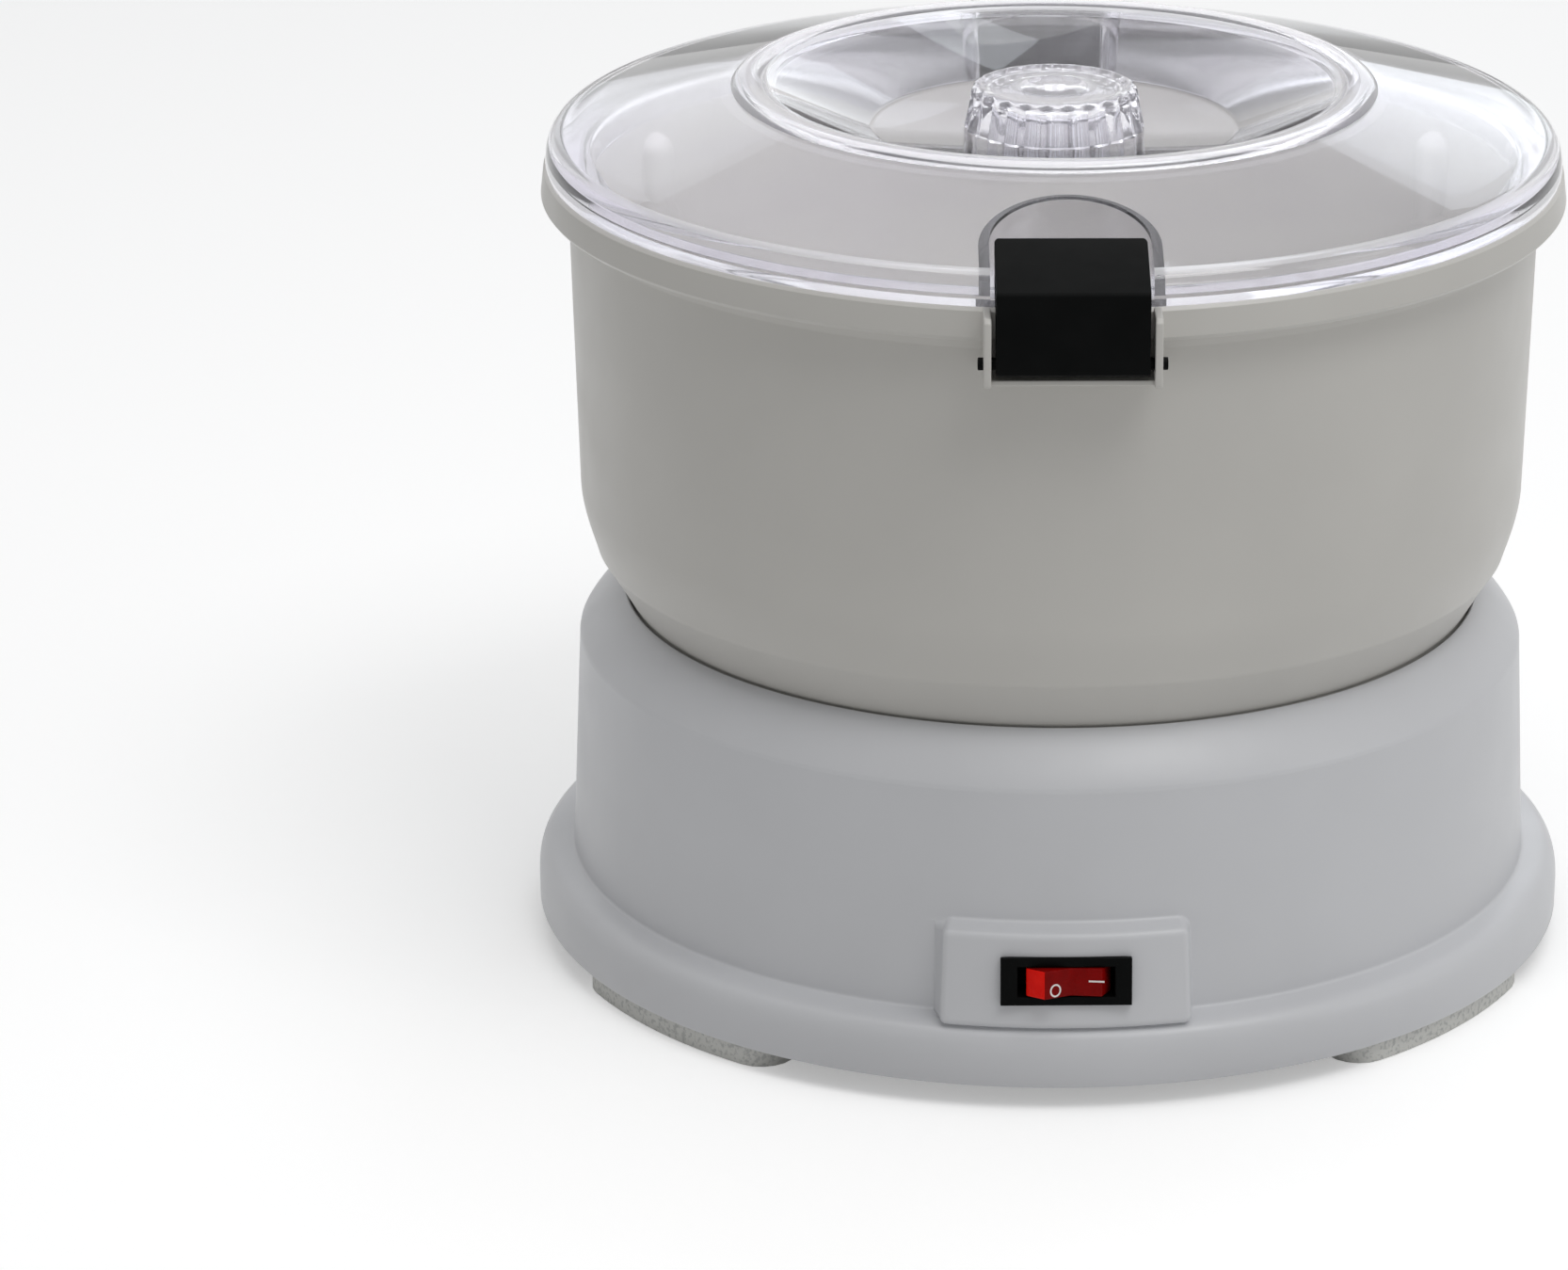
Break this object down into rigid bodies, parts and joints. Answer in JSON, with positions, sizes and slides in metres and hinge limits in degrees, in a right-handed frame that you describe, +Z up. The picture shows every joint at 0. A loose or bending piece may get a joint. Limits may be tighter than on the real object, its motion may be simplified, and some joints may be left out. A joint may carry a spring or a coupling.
{
  "type": "electric potato peeler",
  "caption": "Countertop drum peeler: round motor base with rocker switch, lift-off bowl with turning bladed disc, clear dished lid held by two hooked latches.",
  "frame": {"origin": "on the floor under the bowl's axis", "axes": "+Z up along the bowl's axis, -Y towards the switch and front latch, +X to the right seen from the front"},
  "size_m": [0.262, 0.269, 0.2214],
  "materials": {
    "grey_abs": "satin moulded",
    "underside_plastic": "moulded",
    "foot_rubber": "speckled",
    "black_plastic": "satin moulded",
    "red_plastic": "translucent gloss",
    "clear_plastic": "clear moulded",
    "steel": "machined",
    "stainless": "brushed",
    "bronze": "sintered",
    "copper": "enamelled wire",
    "ferrite": "sintered",
    "acetal": "moulded",
    "rubber": "matte",
    "board": "printed circuit board",
    "disc_plastic": "moulded"
  },
  "bodies": {
    "base": {"base_housing": "grey_abs", "base_plate": "underside_plastic", "base_screws": "steel", "feet": "foot_rubber", "switch_body": "black_plastic", "switch_terminals": "bronze", "cord_gland": "black_plastic", "terminal_block": "acetal", "power_board": "board", "motor_can": "steel", "motor_magnets": "ferrite", "motor_end_cap": "black_plastic", "motor_brushes": "ferrite", "motor_screws": "steel", "gearbox_case": "underside_plastic", "gearbox_cover": "underside_plastic", "gearbox_screws": "steel", "lower_bush": "bronze", "upper_bush": "bronze", "shaft_seal": "rubber", "idler_axle": "steel"},
    "rocker": {"rocker_button": "red_plastic"},
    "rotor": {"rotor_core": "steel", "rotor_windings": "copper", "commutator": "copper", "motor_shaft": "steel", "motor_pinion": "bronze"},
    "idler": {"idler_gear": "acetal"},
    "drive": {"drive_shaft": "steel", "output_gear": "acetal", "thrust_washer": "steel", "drive_circlip": "steel"},
    "bowl": {"bowl_shell": "grey_abs", "front_latch_pin": "black_plastic", "rear_latch_pin": "black_plastic"},
    "disc": {"peeling_disc": "disc_plastic", "hub_insert": "steel", "peeling_blades": "stainless", "blade_screws": "stainless"},
    "lid": {"lid_shell": "clear_plastic", "lid_knob": "clear_plastic"},
    "front_latch": {"front_latch": "black_plastic"},
    "rear_latch": {"rear_latch": "black_plastic"}
  },
  "joints": [
    {"name": "rocker_switch", "type": "hinge", "parent": "base", "child": "rocker", "pos_m": [0, -0.12365, 0.03207], "axis": [0, -0.1527, -0.9883], "range_deg": [0, 24]},
    {"name": "motor_spin", "type": "hinge", "parent": "base", "child": "rotor", "pos_m": [0.03031, 0.0275, 0.03], "axis": [0, 0, 1], "continuous": true},
    {"name": "idler_spin", "type": "hinge", "parent": "base", "child": "idler", "pos_m": [0, 0.045, 0.065], "axis": [0, 0, 1], "continuous": true},
    {"name": "drive_spin", "type": "hinge", "parent": "base", "child": "drive", "pos_m": [0, 0, 0.07], "axis": [0, 0, 1], "continuous": true},
    {"name": "bowl_lift", "type": "slide", "parent": "base", "child": "bowl", "axis": [0, 0, 1], "range_m": [0, 0.06]},
    {"name": "disc_spin", "type": "hinge", "parent": "bowl", "child": "disc", "pos_m": [0, 0, 0.096], "axis": [0, 0, 1], "continuous": true},
    {"name": "lid_lift", "type": "slide", "parent": "bowl", "child": "lid", "axis": [0, 0, 1], "range_m": [0, 0.0225]},
    {"name": "front_latch_hinge", "type": "hinge", "parent": "bowl", "child": "front_latch", "pos_m": [0, -0.1313, 0.1888], "axis": [1, 0, 0], "range_deg": [0, 135.01]},
    {"name": "rear_latch_hinge", "type": "hinge", "parent": "bowl", "child": "rear_latch", "pos_m": [0, 0.1313, 0.1888], "axis": [-1, 0, 0], "range_deg": [0, 135.01]}
  ],
  "couplings": [
    {"joint": "idler_spin", "follows": "motor_spin", "ratio": -0.25},
    {"joint": "drive_spin", "follows": "motor_spin", "ratio": 0.071429},
    {"joint": "disc_spin", "follows": "motor_spin", "ratio": 0.071429},
    {"joint": "front_latch_hinge", "follows": "lid_lift", "rad_per_m": 104.72},
    {"joint": "rear_latch_hinge", "follows": "lid_lift", "rad_per_m": 104.72}
  ]
}
